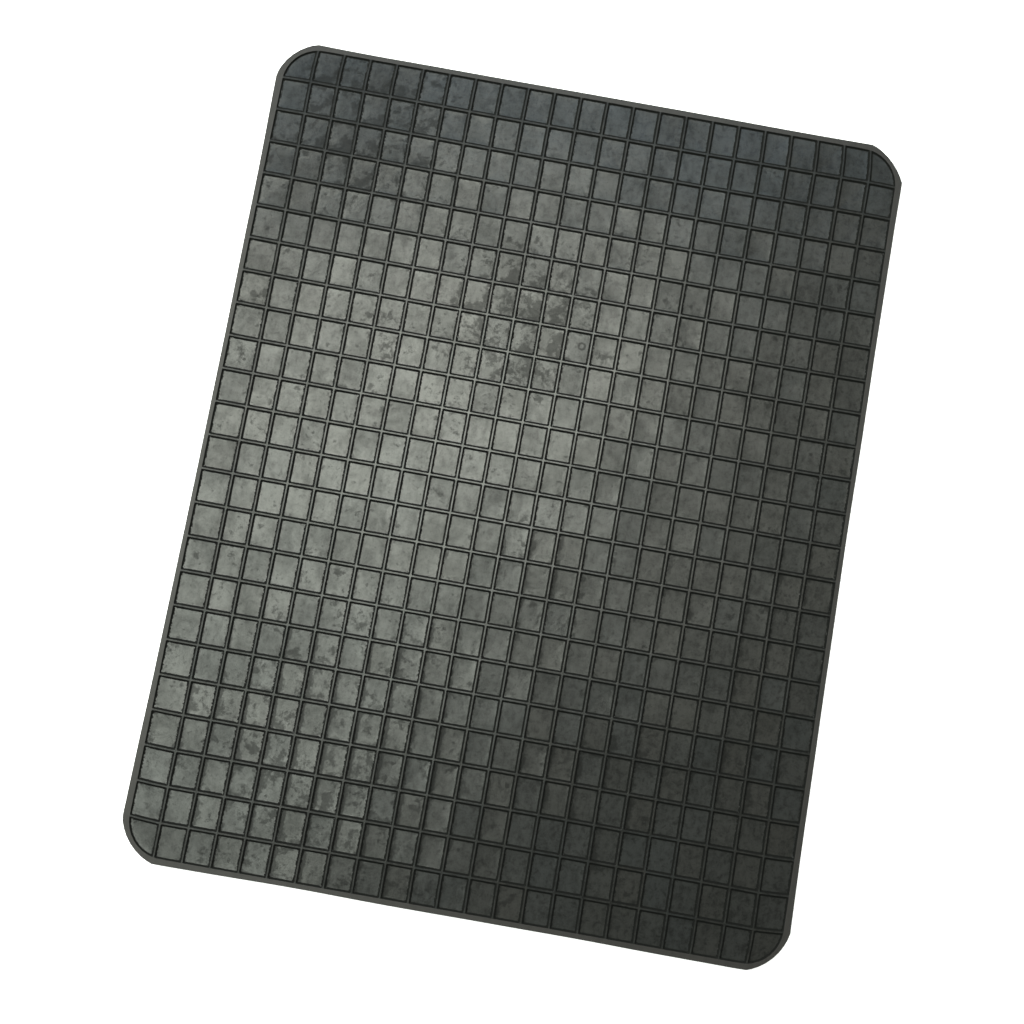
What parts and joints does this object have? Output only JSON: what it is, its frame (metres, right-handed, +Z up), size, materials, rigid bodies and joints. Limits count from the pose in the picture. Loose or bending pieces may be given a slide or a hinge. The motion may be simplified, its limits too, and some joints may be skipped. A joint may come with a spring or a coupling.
{
  "type": "self healing mat",
  "caption": "Flat rectangular rubber bench mat with round corners, a raised rim and a raised grid of thin ribs around shallow rectangular pockets.",
  "frame": {"origin": "middle of the underside, where the mat rests on the bench", "axes": "+Z up through the plies to the rib tops, +Y along the mat's length, +X across its width"},
  "size_m": [0.3556, 0.4572, 0.005],
  "materials": {
    "face_rubber": "satin moulded rubber with a cloudy bloom",
    "core_rubber": "dull cut edge",
    "base_rubber": "matte calendered rubber"
  },
  "bodies": {
    "root": {"ribbed_face": "face_rubber", "core_sheet": "core_rubber", "base_sheet": "base_rubber"}
  },
  "joints": []
}
